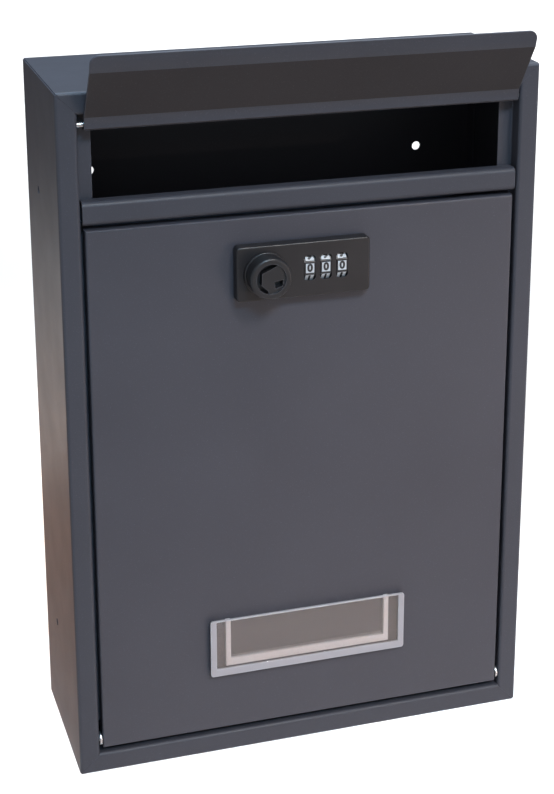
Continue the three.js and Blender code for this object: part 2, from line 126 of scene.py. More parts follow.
# Each lamp: place, aim, size in metres, power in watts, colour and how far its light spreads
lamps = {
    "lamp_key": ((0.55, -1.55, 1.5), (0.08, -0.08, -0.10), 0.6, 0.74, (1.0, 0.93, 0.88), 18),
    "lamp_cool": ((-0.1, -1.5, 1.4), (0, -0.09, 0.19), 0.6, 0.56, (0.40, 0.72, 1.0), 13),
    "lamp_above": ((-0.1, 0.02, 2.0), (0, -0.05, 0.05), 0.5, 0.9, (0.50, 0.76, 1.0), 20),
    "lamp_low": ((0.9, -1.2, -0.2), (0.05, -0.08, -0.1), 0.3, 0.13, (1.0, 0.74, 0.6), 22),
    "lamp_floor": ((1.6, 2.2, 2.6), (1.3, 1.8, floor_level), 2.4, 48, (0.98, 0.99, 1.0), 100),
    "lamp_far": ((2.4, 4.6, 2.8), (2.1, 4.4, floor_level), 2.6, 75, (1.0, 1.0, 1.0), 110),
    "lamp_warm": ((-0.9, 0.8, 0.4), (-0.24, 0.42, floor_level), 0.5, 1.9, (1.0, 0.62, 0.40), 50),
}
for lamp_name, (place, aim, size, power, tint, spread) in lamps.items():
    lamp_data = bpy.data.lights.new(lamp_name, "AREA")
    lamp_data.size = size
    lamp_data.energy = power
    lamp_data.color = tint
    lamp_data.spread = math.radians(spread)
    lamp = bpy.data.objects.new(lamp_name, lamp_data)
    lamp.visible_camera = False
    lamp.location = place
    lamp.rotation_euler = (Vector(aim) - Vector(place)).to_track_quat("-Z", "Y").to_euler()
    bpy.context.scene.collection.objects.link(lamp)


# ---------------------------------------------------------------- case walls
# Four steel sheets, 1 mm thick, folded to a front flange, a return and, at the sides, a stop.
# Their ends meet in mitres. All are powder coated in a dark blue grey.
def blank_material(name):
    """Starts a material: the material, its shader, its node tree and its place on the object."""
    material = bpy.data.materials.new(name)
    material.use_nodes = True
    tree = material.node_tree
    place = tree.nodes.new("ShaderNodeTexCoord").outputs["Object"]
    return material, tree.nodes["Principled BSDF"], tree, place


def cloudy(tree, place, scale, detail):
    """Adds an uneven pattern that lies on the object."""
    texture = tree.nodes.new("ShaderNodeTexNoise")
    texture.inputs["Scale"].default_value = scale
    texture.inputs["Detail"].default_value = detail
    tree.links.new(place, texture.inputs["Vector"])
    return texture.outputs["Fac"]


def tone_between(tree, amount, first, second):
    """Mixes two tones by an amount; the first may be a colour or the output of another mix."""
    mix = tree.nodes.new("ShaderNodeMix")
    mix.data_type = "RGBA"
    if isinstance(first, tuple):
        mix.inputs[6].default_value = (*first, 1)
    else:
        tree.links.new(first, mix.inputs[6])
    mix.inputs[7].default_value = (*second, 1)
    tree.links.new(amount, mix.inputs[0])
    return mix.outputs[2]


def lift(tone, factor):
    """Makes a tone paler or darker by a factor."""
    return tuple(min(1, factor * c) for c in tone)


def scaled(tree, amount, to_low, to_high, from_low=0, from_high=1):
    """Brings an amount from one range to another."""
    span = tree.nodes.new("ShaderNodeMapRange")
    span.inputs["From Min"].default_value = from_low
    span.inputs["From Max"].default_value = from_high
    span.inputs["To Min"].default_value = to_low
    span.inputs["To Max"].default_value = to_high
    tree.links.new(amount, span.inputs["Value"])
    return span.outputs["Result"]


def relief(tree, height, strength, depth, bsdf):
    """Gives the surface a fine relief from a pattern."""
    bump = tree.nodes.new("ShaderNodeBump")
    bump.inputs["Strength"].default_value = strength
    bump.inputs["Distance"].default_value = depth
    tree.links.new(height, bump.inputs["Height"])
    tree.links.new(bump.outputs["Normal"], bsdf.inputs["Normal"])


def edge_highlight_mask(tree, radius, most):
    """Finds the edges, where the rounded normal turns away from the true one: the mask for painted edge
    highlights.
    """
    rounded = tree.nodes.new("ShaderNodeBevel")
    rounded.samples = 4
    rounded.inputs["Radius"].default_value = radius
    true = tree.nodes.new("ShaderNodeNewGeometry")
    turn = tree.nodes.new("ShaderNodeVectorMath")
    turn.operation = "DOT_PRODUCT"
    tree.links.new(rounded.outputs["Normal"], turn.inputs[0])
    tree.links.new(true.outputs["Normal"], turn.inputs[1])
    return scaled(tree, turn.outputs["Value"], 0, most, 0.985, 0.8)


def powder_coat(name, dark, light, shine, gleam=0.5):
    """Sprayed and baked paint: a fine orange peel, cloudy tone and paler edges, a painted highlight
    with some edge wear.
    """
    coat, paint, tree, place = blank_material(name)
    paint.inputs["Specular IOR Level"].default_value = gleam
    cloud = tone_between(tree, cloudy(tree, place, 14, 3), dark, light)
    specks = scaled(tree, cloudy(tree, place, 1900, 2), 0, 0.5, 0.62, 0.8)
    flecked = tone_between(tree, specks, cloud, lift(light, 2.2))
    # Paler edges: a painted highlight, with some edge wear
    worn_and_highlit = tone_between(tree, edge_highlight_mask(tree, 0.0006, 0.45), flecked, lift(light, 1.9))
    tree.links.new(worn_and_highlit, paint.inputs["Base Color"])
    gloss = scaled(tree, cloudy(tree, place, 45, 5), shine - 0.06, shine + 0.08)
    tree.links.new(gloss, paint.inputs["Roughness"])
    relief(tree, cloudy(tree, place, 520, 3), 0.25, 0.0001, paint)
    return coat


case_coat = powder_coat("anthracite_coat", (0.043, 0.043, 0.053), (0.057, 0.057, 0.070), 0.44, 0.3)
sheet = 0.001
bend = 0.0011
cut_edge = 0.00018
past = 0.001  # how far a cutter starts outside the surface that it cuts
hair = 1e-6  # how far apart two places may be and still count as one


def only(piece):
    """Makes a piece the one selected and active object."""
    bpy.ops.object.select_all(action="DESELECT")
    piece.select_set(True)
    bpy.context.view_layer.objects.active = piece


def add_modifier(piece, kind, **settings):
    """Adds a modifier with its settings and applies it."""
    only(piece)
    modifier = piece.modifiers.new(kind, kind)
    for key, value in settings.items():
        setattr(modifier, key, value)
    bpy.ops.object.modifier_apply(modifier=modifier.name)


def round_edges(piece, width, segments=3, angle=30):
    add_modifier(
        piece,
        "BEVEL",
        width=width,
        segments=segments,
        limit_method="ANGLE",
        angle_limit=math.radians(angle),
        use_clamp_overlap=True,
        miter_outer="MITER_ARC",
    )


def settle(piece):
    """Leaves the piece's object at the origin, with its place in its mesh and its faces outwards."""
    only(piece)
    bpy.ops.object.transform_apply(location=True, rotation=True, scale=True)
    bpy.ops.object.mode_set(mode="EDIT")
    bpy.ops.mesh.select_all(action="SELECT")
    bpy.ops.mesh.remove_doubles(threshold=1e-6)
    bpy.ops.mesh.normals_make_consistent(inside=False)
    bpy.ops.object.mode_set(mode="OBJECT")


def smooth(piece, angle=32):
    """Smooths the rounded edges and keeps the broad faces flat."""
    only(piece)
    bpy.ops.object.shade_smooth_by_angle(angle=math.radians(angle))
    add_modifier(piece, "WEIGHTED_NORMAL", mode="FACE_AREA", weight=100, keep_sharp=True)


def dress(piece, name, material, slot, body, *nodes):
    """Names a finished piece, paints it and joins it to its body."""
    piece.name = name
    piece.data.materials.clear()
    piece.data.materials.append(material)
    if nodes:
        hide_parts(*nodes)
    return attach(piece, body)


def cut(piece, cutter):
    """Cuts one closed mesh out of another and clears the cutter away."""
    add_modifier(piece, "BOOLEAN", object=cutter, operation="DIFFERENCE", solver="EXACT")
    bpy.data.objects.remove(cutter)


def add_block(low, high):
    """Adds a box between two corners, with its place in its mesh."""
    low, high = Vector(low), Vector(high)
    bpy.ops.object.select_all(action="DESELECT")
    bpy.ops.mesh.primitive_cube_add(size=1, location=(low + high) / 2, scale=high - low)
    bpy.ops.object.transform_apply(location=True, rotation=True, scale=True)
    return bpy.context.object


def turned_bar(radius, start, end, sides=48):
    """Adds a round bar from one point to another, with its place in its mesh."""
    start, end = Vector(start), Vector(end)
    bpy.ops.object.select_all(action="DESELECT")
    bpy.ops.mesh.primitive_cylinder_add(
        vertices=sides,
        radius=radius,
        depth=(end - start).length,
        location=(start + end) / 2,
        rotation=(end - start).to_track_quat("Z", "Y").to_euler(),
    )
    bpy.ops.object.transform_apply(location=True, rotation=True, scale=True)
    return bpy.context.object


def drill(piece, radius, start, end, sides=40):
    """Bores a round hole from one point to another."""
    cut(piece, turned_bar(radius, start, end, sides))


def fold_line(corners, run, low, high):
    """Folds a sheet's middle surface: a straight edge along the run, drawn out corner by corner.

    Each corner is x and y where the run is along Z, and y and z where it is along X.
    """
    upright = run == "Z"
    length = high - low
    middle = (low + high) / 2
    first = corners[0]
    centre = (*first, middle) if upright else (middle, *first)
    turn = (0, math.pi / 2, 0) if upright else (0, 0, 0)
    bpy.ops.object.select_all(action="DESELECT")
    bpy.ops.mesh.primitive_plane_add(size=length, location=centre, rotation=turn)
    piece = bpy.context.object
    bpy.ops.object.transform_apply(location=True, rotation=True, scale=True)
    bpy.ops.object.mode_set(mode="EDIT")
    bpy.ops.mesh.delete(type="ONLY_FACE")
    bpy.ops.object.mode_set(mode="OBJECT")
    for vertex in piece.data.vertices:
        vertex.select = vertex.co.y > centre[1]
    bpy.ops.object.mode_set(mode="EDIT")
    bpy.ops.mesh.delete(type="VERT")
    bpy.ops.mesh.select_all(action="SELECT")
    bpy.ops.transform.translate(value=(0, length / 2, 0))
    for before, after in zip(corners, corners[1:]):
        step = (after[0] - before[0], after[1] - before[1])
        move = (*step, 0) if upright else (0, *step)
        bpy.ops.mesh.extrude_region_move(TRANSFORM_OT_translate={"value": move})
    bpy.ops.object.mode_set(mode="OBJECT")
    return piece


def trim(piece, point, outward):
    """Cuts the sheet along a plane and drops what is beyond it."""
    only(piece)
    bpy.ops.object.mode_set(mode="EDIT")
    bpy.ops.mesh.select_all(action="SELECT")
    bpy.ops.mesh.bisect(plane_co=point, plane_no=outward, clear_outer=True, threshold=1e-7)
    bpy.ops.object.mode_set(mode="OBJECT")


def thicken(piece, radius):
    """Rounds the folds, gives the sheet its thickness and breaks its cut edges."""
    round_edges(piece, radius, segments=5)
    add_modifier(piece, "SOLIDIFY", thickness=sheet, offset=0, use_even_offset=True)
    settle(piece)
    round_edges(piece, cut_edge, segments=2, angle=50)


seam = 0.00012
side_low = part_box("left_side")[0]
case_x = -side_low.x
front = side_low.y
case_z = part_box("top_panel")[1].z
side_flange = 0.0093
end_flange = 0.0098
return_depth = 0.0075
stop_reach = 0.0067
half_sheet = sheet / 2
spot_mark = 0.0018
spot_mark_depth = 0.0005
spot_mark_y = -0.029
spot_mark_z = 0.1065
play = 0.0003
flap_axis = Vector(frame["joints"][0]["pos_m"])
door_axis = Vector(frame["joints"][1]["pos_m"])
rod_low, rod_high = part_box("flap_rod")
rod_radius = (rod_high.z - rod_low.z) / 2
rivet_radius = 0.0014
notch_rise = 0.007

for node, hand in (("left_side", -1), ("right_side", 1)):
    outer = case_x - half_sheet
    inner = case_x - side_flange + half_sheet
    stop = case_x - side_flange - stop_reach
    corners = [
        (hand * outer, 0),
        (hand * outer, front + half_sheet),
        (hand * inner, front + half_sheet),
        (hand * inner, front + return_depth + half_sheet),
        (hand * stop, front + return_depth + half_sheet),
    ]
    wall = fold_line(corners, "Z", -case_z, case_z)
    trim(wall, (hand * (case_x - seam), 0, case_z - seam), (hand * -1, 0, 1))
    trim(wall, (hand * (case_x - seam), 0, -case_z + seam), (hand * -1, 0, -1))
    thicken(wall, bend)
    for z in (-spot_mark_z, spot_mark_z):
        start, end = case_x + past, case_x - spot_mark_depth
        drill(wall, spot_mark, (hand * start, spot_mark_y, z), (hand * end, spot_mark_y, z))
    inner_face = case_x - side_flange
    for axis, radius in ((flap_axis, rod_radius), (door_axis, rivet_radius)):
        start, end = inner_face - past, inner_face + 3 * sheet
        drill(wall, radius + play, (hand * start, axis.y, axis.z), (hand * end, axis.y, axis.z))
    ends = sorted((hand * (stop - past), hand * inner_face))
    low = (ends[0], front + return_depth / 2, -case_z)
    high = (ends[1], front + 2 * return_depth, door_axis.z + notch_rise)
    cut(wall, add_block(low, high))
    smooth(wall)
    dress(wall, "side_wall_" + node.split("_")[0], case_coat, "anthracite_paint", "case", node)

for node, up in (("top_panel", 1), ("bottom_panel", -1)):
    outer = case_z - half_sheet
    inner = case_z - end_flange + half_sheet
    corners = [
        (0, up * outer),
        (front + half_sheet, up * outer),
        (front + half_sheet, up * inner),
        (front + return_depth + half_sheet, up * inner),
    ]
    wall = fold_line(corners, "X", -case_x, case_x)
    for hand in (-1, 1):
        trim(wall, (hand * (case_x - seam), 0, up * (case_z - seam)), (hand, 0, -up))
    thicken(wall, bend)
    smooth(wall)
    dress(wall, node.replace("panel", "wall"), case_coat, "anthracite_paint", "case", node)

# ---------------------------------------------------------------- back
# A shallow pan of the same steel sheet with folded edges, spot-welded inside the walls. Four
# screws through its holes hold the box to the wall.
def pick(piece, kind, wanted):
    """Selects, in edit mode, only the points, edges or faces that pass a test of their place."""
    only(piece)
    bpy.ops.object.mode_set(mode="EDIT")
    bpy.ops.mesh.select_all(action="DESELECT")
    bpy.ops.mesh.select_mode(type=kind)
    bpy.ops.object.mode_set(mode="OBJECT")
    points = piece.data.vertices
    if kind == "VERT":
        for point in points:
            point.select = wanted(point.co)
    elif kind == "EDGE":
        for edge in piece.data.edges:
            edge.select = wanted(*(points[i].co for i in edge.vertices))
    else:
        for face in piece.data.polygons:
            face.select = wanted(face.center, face.normal)
    bpy.ops.object.mode_set(mode="EDIT")


def bevel_picked(piece, wanted, width, segments):
    """Rounds the edges whose two ends pass a test."""
    pick(piece, "EDGE", wanted)
    bpy.ops.mesh.bevel(offset=width, segments=segments, affect="EDGES")
    bpy.ops.object.mode_set(mode="OBJECT")


def open_pan(low, high, open_side, fold):
    """Folds a box with one side left open: the folds are rounded, then the sheet gets its thickness."""
    pan = add_block(low, high)
    pick(pan, "FACE", lambda centre, normal: normal.y * open_side > 0.9)
    bpy.ops.mesh.delete(type="FACE")
    bpy.ops.object.mode_set(mode="OBJECT")
    closed_y = low.y if open_side > 0 else high.y
    bevel_picked(pan, lambda a, b: max(abs(a.y - closed_y), abs(b.y - closed_y)) < hair, fold, 5)
    add_modifier(pan, "SOLIDIFY", thickness=sheet, offset=-1, use_even_offset=True)
    settle(pan)
    return pan


wall_hole_x = 0.0803
wall_hole_z = 0.106
wall_hole_radius = 0.0021
back_low, back_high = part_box("back_panel")
back = open_pan(back_low, back_high, -1, bend)
for x in (-wall_hole_x, wall_hole_x):
    for z in (-wall_hole_z, wall_hole_z):
        drill(back, wall_hole_radius, (x, -4 * sheet, z), (x, 2 * sheet, z))
round_edges(back, cut_edge, segments=2, angle=50)
smooth(back)
dress(back, "back_pan", case_coat, "anthracite_paint", "case", "back_panel")

# ---------------------------------------------------------------- slot rail
# A channel folded from the same steel sheet, open at the back, welded across the frame between
# the slot and the door. The cam of the lock swings up behind it.
rail_low, rail_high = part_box("slot_rail")
rail_corners = [
    (rail_high.y, rail_low.z + half_sheet),
    (rail_low.y + half_sheet, rail_low.z + half_sheet),
    (rail_low.y + half_sheet, rail_high.z - half_sheet),
    (rail_high.y, rail_high.z - half_sheet),
]
rail = fold_line(rail_corners, "X", rail_low.x, rail_high.x)
rail_bend = 0.0019
thicken(rail, rail_bend)
smooth(rail)
dress(rail, "cross_rail", case_coat, "anthracite_paint", "case", "slot_rail")

# ---------------------------------------------------------------- flap
# One folded sheet: a channel closed round the rod, the cover over the slot and a turned lip
# with rounded corners. It stands open here and swings down over the slot. Its inner face has a
# rougher coat with less shine, painted darker and browner as shade.
flap_low, flap_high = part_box("flap")
channel = 0.0019
cover_run = 0.0264
cover_slope = math.radians(54.7)
lip_run = 0.0077
lip_slope = math.radians(72.3)
lip_corner = 0.004
flap_bend = 0.0007
flap_path = [(channel, 0.0012), (channel, -channel), (-channel, -channel), (-0.0026, 0.0035)]
for run, slope in ((cover_run, cover_slope), (lip_run, lip_slope)):
    y, z = flap_path[-1]
    flap_path.append((y - run * math.cos(slope), z + run * math.sin(slope)))
flap_corners = [(y + flap_axis.y, z + flap_axis.z) for y, z in flap_path]
flap = fold_line(flap_corners, "X", flap_low.x, flap_high.x)
lip_top = flap_corners[-1][1]
pick(flap, "VERT", lambda point: point.z > lip_top - 10 * hair)
bpy.ops.mesh.bevel(offset=lip_corner, segments=8, affect="VERTICES")
bpy.ops.object.mode_set(mode="OBJECT")
thicken(flap, flap_bend)
smooth(flap)
dress(flap, "slot_flap", case_coat, "anthracite_paint", "flap", "flap")
# The cover's inner face: its darker, browner colour is painted shade; its rougher, less shiny finish is
# its own
underside_shade_dark, underside_shade_light = (0.037, 0.031, 0.031), (0.049, 0.041, 0.041)
shaded_dull_coat = powder_coat("anthracite_inside_painted_shade", underside_shade_dark, underside_shade_light, 0.66, 0.12)
flap.data.materials.append(shaded_dull_coat)
cover_face = Vector((0, -math.sin(cover_slope), -math.cos(cover_slope)))
# The faces under the cover take the painted-shade coat
for face in flap.data.polygons:
    if face.normal.dot(cover_face) > 0.995:
        face.material_index = 1


# ---------------------------------------------------------------- flap rod and door rivets
# Drawn steel rod across the frame, held by a hole in each return. The door turns on two zinc
# plated rivets, with a washer on each in the gap beside the door.
def bare_metal(name, tone, shine, metallic=1.0):
    """Bright metal with fine drawn scratches and a little tarnish."""
    metal, bsdf, tree, place = blank_material(name)
    bsdf.inputs["Metallic"].default_value = metallic
    stretch = tree.nodes.new("ShaderNodeMapping")
    stretch.inputs["Scale"].default_value = (60, 900, 900)
    tree.links.new(place, stretch.inputs["Vector"])
    scratches = cloudy(tree, stretch.outputs["Vector"], 3, 4)
    tint = tone_between(tree, cloudy(tree, place, 260, 3), lift(tone, 0.72), tone)
    tree.links.new(tint, bsdf.inputs["Base Color"])
    tree.links.new(scaled(tree, scratches, shine - 0.08, shine + 0.14), bsdf.inputs["Roughness"])
    relief(tree, scratches, 0.2, 0.00005, bsdf)
    return metal


zinc = bare_metal("zinc_plate", (0.74, 0.76, 0.78), 0.28)
drawn_steel = bare_metal("drawn_steel", (0.60, 0.61, 0.62), 0.3)


def join_to(piece, other):
    """Welds one closed mesh onto another."""
    add_modifier(piece, "BOOLEAN", object=other, operation="UNION", solver="EXACT")
    bpy.data.objects.remove(other)


rod_y = (rod_low.y + rod_high.y) / 2
rod_z = (rod_low.z + rod_high.z) / 2
rod = turned_bar(rod_radius, (rod_low.x, rod_y, rod_z), (rod_high.x, rod_y, rod_z))
rod_end_round = 0.0003
round_edges(rod, rod_end_round, segments=3, angle=60)
smooth(rod)
dress(rod, "hinge_rod", drawn_steel, "bright_steel", "case", "flap_rod")

head_thickness = 0.0016
head_round = 0.0011
washer_round = 0.00015
for side, hand in (("left", -1), ("right", 1)):
    pin_low, pin_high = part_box("hinge_pin_" + side)
    y = (pin_low.y + pin_high.y) / 2
    z = (pin_low.z + pin_high.z) / 2
    near = min(abs(pin_low.x), abs(pin_high.x))
    far = max(abs(pin_low.x), abs(pin_high.x))
    head_radius = (pin_high.z - pin_low.z) / 2
    rivet = turned_bar(head_radius, (hand * near, y, z), (hand * (near + head_thickness), y, z))
    bevel_picked(rivet, lambda a, b: max(abs(a.x), abs(b.x)) < near + hair, head_round, 5)
    shank = turned_bar(rivet_radius, (hand * (near + sheet), y, z), (hand * far, y, z), 32)
    join_to(rivet, shank)
    smooth(rivet)
    dress(rivet, "rivet_" + side, zinc, "zinc_plated_steel", "case", "hinge_pin_" + side)

    washer_low, washer_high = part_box("hinge_washer_" + side)
    washer_radius = (washer_high.z - washer_low.z) / 2
    washer = turned_bar(washer_radius, (washer_low.x, y, z), (washer_high.x, y, z))
    drill(washer, rivet_radius + play, (washer_low.x - past, y, z), (washer_high.x + past, y, z))
    round_edges(washer, washer_round, segments=2, angle=50)
    smooth(washer)
    dress(washer, "washer_" + side, zinc, "zinc_plated_steel", "case", "hinge_washer_" + side)

# ---------------------------------------------------------------- door
# A pan folded from the same steel sheet, with softly rounded edges and a cut-out for the lock. It
# turns on the two rivets at its foot, and its coat is a little glossier than the case's.
door_low, door_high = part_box("door")
door_fold = 0.0012
door = open_pan(door_low, door_high, 1, door_fold)
housing_low, housing_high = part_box("lock_housing")
room = Vector((play, 0, play))
cut(door, add_block(housing_low - room - Vector((0, 4 * sheet, 0)), housing_high + room))


def bore(piece, radius, x, near, far, sides=40):
    """Bores a round hole from front to back, at the height of the lock."""
    drill(piece, radius, (x, near, lock_z), (x, far, lock_z), sides)


barrel_bore = 0.0083
screw_bore = 0.002
barrel_low, barrel_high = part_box("lock_barrel")
lock_x = (barrel_low.x + barrel_high.x) / 2
lock_z = (barrel_low.z + barrel_high.z) / 2
bore(door, barrel_bore, lock_x, front - 2 * sheet, front + 4 * sheet)
screw_low, screw_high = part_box("lock_screw")
screw_x = (screw_low.x + screw_high.x) / 2
bore(door, screw_bore, screw_x, front - 2 * sheet, front + 4 * sheet, 24)
for hand in (-1, 1):
    inside = (hand * (door_high.x - 3 * sheet), y, z)
    outside = (hand * (door_high.x + 3 * sheet), y, z)
    drill(door, rivet_radius + play, inside, outside, 24)
round_edges(door, cut_edge, segments=2, angle=50)
smooth(door)
door_dark, door_light = (0.043, 0.042, 0.053), (0.057, 0.056, 0.070)
door_coat = powder_coat("anthracite_door", door_dark, door_light, 0.40, 0.45)
dress(door, "door_pan", door_coat, "anthracite_paint", "door", "door")

# ---------------------------------------------------------------- lock cover
# Black moulded cover, hollow behind, held to the door's face by the barrel and a screw. It has a
# window over each number wheel and a bore for the knob's spindle.
def moulded_black(name, tone, shine, wear_and_highlight_lift=4):
    """Dark plastic with a fine spark-eroded grain and paler edges, a painted highlight with some edge
    wear.
    """
    plastic, bsdf, tree, place = blank_material(name)
    smears = cloudy(tree, place, 90, 4)
    tint = tone_between(tree, smears, lift(tone, 0.8), lift(tone, 1.25))
    # Paler edges: a painted highlight, with some edge wear
    worn_and_highlit = tone_between(tree, edge_highlight_mask(tree, 0.0005, 0.6), tint, lift(tone, wear_and_highlight_lift))
    tree.links.new(worn_and_highlit, bsdf.inputs["Base Color"])
    tree.links.new(scaled(tree, smears, shine - 0.07, shine + 0.1), bsdf.inputs["Roughness"])
    relief(tree, cloudy(tree, place, 2600, 2), 0.25, 0.00004, bsdf)
    return plastic


black = moulded_black("black_moulding", (0.013, 0.012, 0.014), 0.38)
cover_low, cover_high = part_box("lock_cover")
cover = add_block(cover_low, cover_high)
cover_corner = 0.0018
cover_rim = 0.0009
bevel_picked(cover, lambda a, b: abs(a.y - b.y) > sheet, cover_corner, 6)
bevel_picked(cover, lambda a, b: max(a.y, b.y) < cover_low.y + hair, cover_rim, 4)
wheels = [f"number_wheel_{i}" for i in (1, 2, 3)]
cover_wall = 0.001
wheel_room = 0.0008
first_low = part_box(wheels[0])[0]
last_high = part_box(wheels[-1])[1]
wheel_y = frame["joints"][3]["pos_m"][1]
wheel_z = frame["joints"][3]["pos_m"][2]
cavity_low = (first_low.x - past, cover_low.y + cover_wall, first_low.z - wheel_room)
cavity_high = (last_high.x + past, cover_high.y + past, last_high.z + wheel_room)
cut(cover, add_block(cavity_low, cavity_high))
window_width = 0.0055
window_height = 0.0114
window_round = 0.0017
for wheel in wheels:
    low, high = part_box(wheel)
    x = (low.x + high.x) / 2
    window = add_block(
        (x - window_width / 2, cover_low.y - past, wheel_z - window_height / 2),
        (x + window_width / 2, cover_low.y + 3 * cover_wall, wheel_z + window_height / 2),
    )
    bevel_picked(window, lambda a, b: abs(a.y - b.y) > cover_wall, window_round, 6)
    cut(cover, window)
spindle_bore = 0.0043
thread_bore = 0.0017
socket_floor = front - 4 * cover_wall
bore(cover, spindle_bore, lock_x, cover_low.y - past, cover_high.y + past)
bore(cover, barrel_bore, lock_x, socket_floor, cover_high.y + past)
bore(cover, thread_bore, screw_x, socket_floor, cover_high.y + past, 24)
cover_break = 0.00012
round_edges(cover, cover_break, segments=2, angle=60)
smooth(cover)
dress(cover, "lock_face", black, "black_plastic", "door", "lock_cover")

# ---------------------------------------------------------------- knob
# A collar on the cover and a turning knob, two black mouldings. The knob has a rounded rim and a
# pointed grip left standing in its recess, with paler edges: a painted highlight, with some wear from
# fingers.
collar_low, collar_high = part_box("knob_collar")
collar_radius = (collar_high.z - collar_low.z) / 2
collar_round = 0.0006
collar_ends = ((lock_x, collar_low.y, lock_z), (lock_x, collar_high.y, lock_z))
collar = turned_bar(collar_radius, *collar_ends, 72)
bevel_picked(collar, lambda a, b: max(a.y, b.y) < collar_low.y + hair, collar_round, 4)
bore(collar, spindle_bore, lock_x, collar_low.y - past, collar_high.y + past)
smooth(collar)
dress(collar, "knob_ring", black, "black_plastic", "door", "knob_collar")

# The knob's much paler edges are mostly a painted highlight
knob_black = moulded_black("knob_moulding", (0.015, 0.0145, 0.0165), 0.33, 9)
knob_low, knob_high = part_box("knob")
knob_radius = (knob_high.z - knob_low.z) / 2
rim_inside = 0.0067
recess = 0.0042
dish = 0.0009
knob_round = 0.0012
spindle_seat = 0.0025
knob = turned_bar(knob_radius, (lock_x, knob_low.y, lock_z), (lock_x, knob_high.y, lock_z), 96)
bevel_picked(knob, lambda a, b: max(a.y, b.y) < knob_low.y + hair, knob_round, 6)


def prism(outline, y0, y1):
    """Raises a block with the given outline, in millimetres from the knob's middle."""
    bpy.ops.object.select_all(action="DESELECT")
    bpy.ops.mesh.primitive_circle_add(vertices=len(outline), fill_type="NGON")
    block = bpy.context.object
    for vertex, (x, z) in zip(block.data.vertices, outline):
        vertex.co = (lock_x + x / 1000, y0, lock_z + z / 1000)
    bpy.ops.object.mode_set(mode="EDIT")
    bpy.ops.mesh.select_all(action="SELECT")
    bpy.ops.mesh.extrude_region_move(TRANSFORM_OT_translate={"value": (0, y1 - y0, 0)})
    bpy.ops.mesh.select_all(action="SELECT")
    bpy.ops.mesh.normals_make_consistent(inside=False)
    bpy.ops.object.mode_set(mode="OBJECT")
    return block


grip_outline = [(-3.9, 2.5), (3.2, 5.7), (9, 8), (9, -9), (-0.7, -9), (-1.3, -5.5), (-4.2, -2.8)]
notch_outline = [(1.4, -1.7), (5.6, -0.8), (5.2, -3.6), (2.0, -4.6)]
hollow_ends = ((lock_x, knob_low.y - past, lock_z), (lock_x, knob_low.y + recess, lock_z))
hollow = turned_bar(rim_inside, *hollow_ends, 72)
cut(hollow, prism(grip_outline, knob_low.y - 3 * past, knob_low.y + recess + 3 * past))
cut(knob, hollow)
bore(knob, rim_inside, lock_x, knob_low.y - past, knob_low.y + dish, 72)
cut(knob, prism(notch_outline, knob_low.y - past, knob_low.y + recess))
bore(knob, spindle_bore, lock_x, knob_high.y - spindle_seat, knob_high.y + past)
knob_break = 0.0004
round_edges(knob, knob_break, segments=3, angle=40)
smooth(knob)
dress(knob, "turn_knob", knob_black, "black_plastic", "knob", "knob")

# ---------------------------------------------------------------- number wheels
# Ten-sided black wheels with a raised silver pad and a dark figure on each side. They turn on the
# axle in the housing and show through the windows of the cover.
silver = bare_metal("silver_pad", (0.60, 0.62, 0.65), 0.42, 0.0)
figure_ink = moulded_black("figure_ink", (0.012, 0.012, 0.014), 0.45)
facets = 10
facet_turn = 2 * math.pi / facets
wheel_radius = (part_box(wheels[0])[1].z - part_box(wheels[0])[0].z) / 2
facet_reach = wheel_radius * math.cos(facet_turn / 2)
pad_step = 0.0002
pad_gap = 0.0005
pad_slope = 0.0001
sleeve_bore = 0.0045
figure_height = 0.0047
figure_relief = 0.00004
figure_weight = 0.00026
for number, wheel in enumerate(wheels, 1):
    low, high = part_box(wheel)
    x = (low.x + high.x) / 2
    ends = ((low.x, wheel_y, wheel_z), (high.x, wheel_y, wheel_z))
    drum = turned_bar(wheel_radius - pad_step, *ends, facets)
    for vertex in drum.data.vertices:
        arm = Vector((vertex.co.y - wheel_y, vertex.co.z - wheel_z))
        index = round(math.atan2(arm.y, arm.x) / facet_turn - 0.5)
        angle = (index + 0.5) * facet_turn
        vertex.co.y = wheel_y + arm.length * math.cos(angle)
        vertex.co.z = wheel_z + arm.length * math.sin(angle)
    pick(drum, "FACE", lambda centre, normal: abs(normal.x) < 0.1)
    bpy.ops.mesh.inset(thickness=pad_gap, depth=0, use_individual=True)
    bpy.ops.mesh.inset(thickness=pad_slope, depth=pad_step, use_individual=True)
    bpy.ops.object.mode_set(mode="OBJECT")
    drill(drum, sleeve_bore, (low.x - past, wheel_y, wheel_z), (high.x + past, wheel_y, wheel_z))
    dress(drum, f"wheel_{number}_drum", black, "wheel_silver", f"wheel_{number}", wheel)
    drum.data.materials.append(silver)
    for face in drum.data.polygons:
        arm = face.center - Vector((x, wheel_y, wheel_z))
        if arm.dot(face.normal) > facet_reach - pad_step / 2 and abs(face.normal.x) < 0.1:
            face.material_index = 1

    figures = []
    for place in range(facets):
        tilt = place * facet_turn
        bpy.ops.object.select_all(action="DESELECT")
        bpy.ops.object.text_add()
        figure = bpy.context.object
        figure.data.body = str(-place % facets)
        figure.data.align_x = "CENTER"
        figure.data.align_y = "CENTER"
        figure.data.size = figure_height
        figure.data.extrude = figure_relief
        figure.data.offset = figure_weight
        figure.location = (
            x,
            wheel_y - facet_reach * math.cos(tilt),
            wheel_z + facet_reach * math.sin(tilt),
        )
        figure.rotation_euler = (math.pi / 2 - tilt, 0, 0)
        bpy.ops.object.convert(target="MESH")
        bpy.ops.object.transform_apply(location=True, rotation=True, scale=True)
        figures.append(bpy.context.object)
    bpy.ops.object.select_all(action="DESELECT")
    for figure in figures:
        figure.select_set(True)
    bpy.context.view_layer.objects.active = figures[0]
    bpy.ops.object.join()
    dress(figures[0], f"wheel_{number}_figures", figure_ink, "wheel_silver", f"wheel_{number}")


